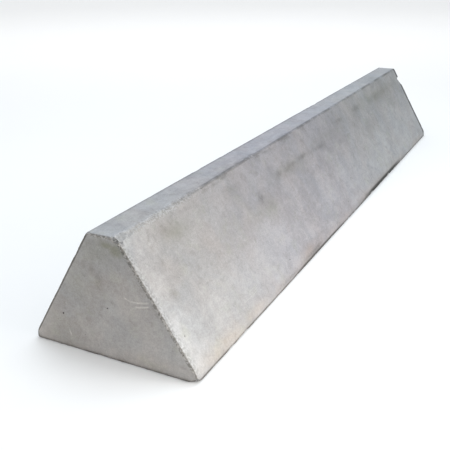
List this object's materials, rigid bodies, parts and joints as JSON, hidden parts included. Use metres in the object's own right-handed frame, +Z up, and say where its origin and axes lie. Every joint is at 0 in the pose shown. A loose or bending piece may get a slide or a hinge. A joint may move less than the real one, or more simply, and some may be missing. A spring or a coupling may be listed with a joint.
{
  "type": "concrete barrier",
  "caption": "Low precast concrete barrier block: flat base, short upright toe, straight sloping sides and a narrow flat top, with its reinforcement cage and base lifting sockets.",
  "frame": {"origin": "centre of the flat base, on the surface that the block stands on", "axes": "+X along the block, +Y across it, +Z up; the long side that faces -Y is called the front"},
  "size_m": [3, 0.575, 0.4],
  "materials": {
    "concrete": "cast against steel, fine and matt, with air holes and stains",
    "rebar": "hot-rolled ribbed bar with light brown rust",
    "socket_steel": "electroplated zinc, dull",
    "spacer_plastic": "moulded, matt dark grey"
  },
  "bodies": {
    "root": {"concrete_body": "concrete", "base_bar_front": "rebar", "base_bar_back": "rebar", "ridge_bar_front": "rebar", "ridge_bar_back": "rebar", "inner_base_bar_front": "rebar", "inner_base_bar_back": "rebar", "side_bar_front": "rebar", "side_bar_back": "rebar", "link_01": "rebar", "link_02": "rebar", "link_03": "rebar", "link_04": "rebar", "link_05": "rebar", "link_06": "rebar", "link_07": "rebar", "link_08": "rebar", "link_09": "rebar", "link_10": "rebar", "link_11": "rebar", "link_12": "rebar", "link_13": "rebar", "u_bar_left_low": "rebar", "u_bar_left_high": "rebar", "u_bar_right_low": "rebar", "u_bar_right_high": "rebar", "lifting_socket_left": "socket_steel", "lifting_socket_right": "socket_steel", "anchor_tail_left": "rebar", "anchor_tail_right": "rebar", "cover_spacers": "spacer_plastic"}
  },
  "joints": []
}
